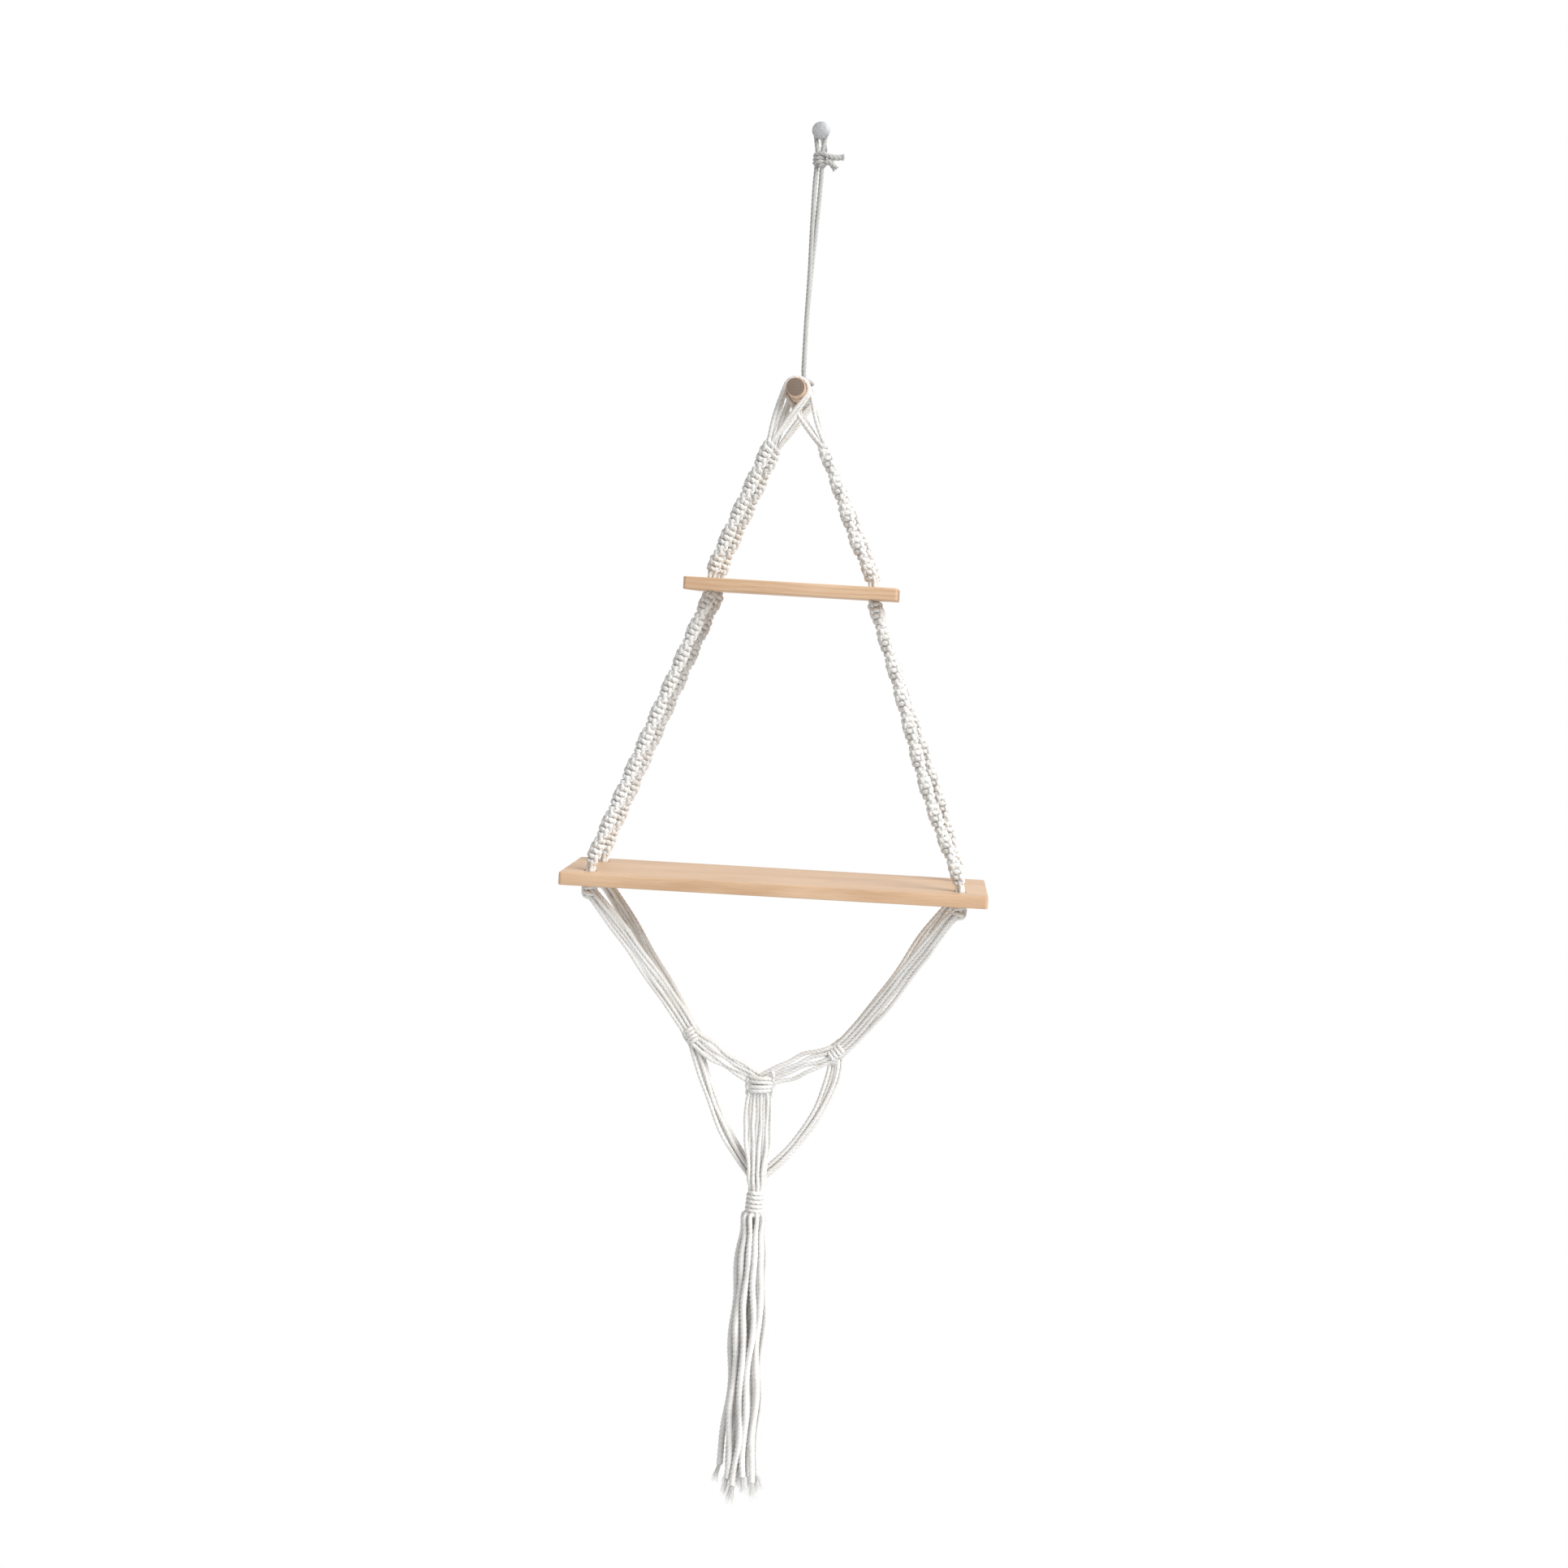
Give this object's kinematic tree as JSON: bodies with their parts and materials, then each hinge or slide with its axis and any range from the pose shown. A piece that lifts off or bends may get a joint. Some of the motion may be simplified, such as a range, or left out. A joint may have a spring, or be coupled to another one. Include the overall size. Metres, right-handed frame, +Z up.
{
  "type": "hanging rope shelf",
  "caption": "Hanging shelf of wooden planks threaded on spiral-knotted cotton cords that fold over a short bar, hung by a doubled cord from a nail, with a knotted net and a tassel below.",
  "frame": {"origin": "middle of the nail's shank, where the eye of the hanging cord lies over it", "axes": "+Z up, +X to the right along the planks, +Y back to the wall along the nail and the bar"},
  "size_m": [0.4, 0.156, 1.3159],
  "materials": {
    "cotton_cord": "matte three-ply twisted cotton",
    "plank_wood": "smooth bare softwood",
    "bar_wood": "smooth bare softwood with dark end grain",
    "nail_steel": "dull galvanised"
  },
  "bodies": {
    "wall_fixing": {"wall_nail": "nail_steel"},
    "hanging_loop": {"hanging_eye": "cotton_cord", "hanging_knot": "cotton_cord"},
    "hanging_cord": {"hanging_cord_left": "cotton_cord", "hanging_cord_right": "cotton_cord"},
    "shelf": {"bar_hitch": "cotton_cord", "top_bar": "bar_wood", "saddle_front_left": "cotton_cord", "saddle_front_right": "cotton_cord", "saddle_rear_left": "cotton_cord", "saddle_rear_right": "cotton_cord", "upper_sinnet_front_left": "cotton_cord", "upper_sinnet_front_right": "cotton_cord", "upper_sinnet_rear_left": "cotton_cord", "upper_sinnet_rear_right": "cotton_cord", "lower_sinnet_front_left": "cotton_cord", "lower_sinnet_front_right": "cotton_cord", "lower_sinnet_rear_left": "cotton_cord", "lower_sinnet_rear_right": "cotton_cord", "upper_plank": "plank_wood", "lower_plank": "plank_wood", "stop_knot_front_left": "cotton_cord", "stop_knot_front_right": "cotton_cord", "stop_knot_rear_left": "cotton_cord", "stop_knot_rear_right": "cotton_cord", "net_lead_front_left": "cotton_cord", "net_lead_front_right": "cotton_cord", "net_lead_rear_left": "cotton_cord", "net_lead_rear_right": "cotton_cord", "side_knot_left": "cotton_cord", "side_knot_right": "cotton_cord", "upper_branch_left": "cotton_cord", "upper_branch_right": "cotton_cord", "lower_branch_left": "cotton_cord", "lower_branch_right": "cotton_cord", "centre_knot": "cotton_cord", "centre_drop": "cotton_cord", "junction_knot": "cotton_cord"},
    "neck": {"tassel_neck": "cotton_cord"},
    "tassel": {"tassel_strand_01": "cotton_cord", "tassel_strand_02": "cotton_cord", "tassel_strand_03": "cotton_cord", "tassel_strand_04": "cotton_cord", "tassel_strand_05": "cotton_cord", "tassel_strand_06": "cotton_cord", "tassel_strand_07": "cotton_cord", "tassel_strand_08": "cotton_cord", "tassel_strand_09": "cotton_cord", "tassel_strand_10": "cotton_cord", "tassel_strand_11": "cotton_cord", "tassel_strand_12": "cotton_cord", "tassel_strand_13": "cotton_cord", "tassel_strand_14": "cotton_cord", "tassel_strand_15": "cotton_cord", "tassel_strand_16": "cotton_cord"}
  },
  "joints": [
    {"name": "side_swing", "type": "hinge", "parent": "wall_fixing", "child": "hanging_loop", "pos_m": [0, 0, 0], "axis": [0, 1, 0], "range_deg": [-20, 20]},
    {"name": "fore_aft_swing", "type": "hinge", "parent": "hanging_loop", "child": "hanging_cord", "pos_m": [0, 0, -0.03835], "axis": [1, 0, 0], "range_deg": [-20, 20]},
    {"name": "shelf_swivel", "type": "hinge", "parent": "hanging_cord", "child": "shelf", "pos_m": [-0.0035, 0, -0.22985], "axis": [0, 0, 1], "range_deg": [-60, 60]},
    {"name": "tassel_fore_aft", "type": "hinge", "parent": "shelf", "child": "neck", "pos_m": [-0.004, 0, -1.02384], "axis": [1, 0, 0], "range_deg": [-25, 25]},
    {"name": "tassel_sway", "type": "hinge", "parent": "neck", "child": "tassel", "pos_m": [-0.004, 0, -1.03134], "axis": [0, 1, 0], "range_deg": [-25, 25]}
  ]
}
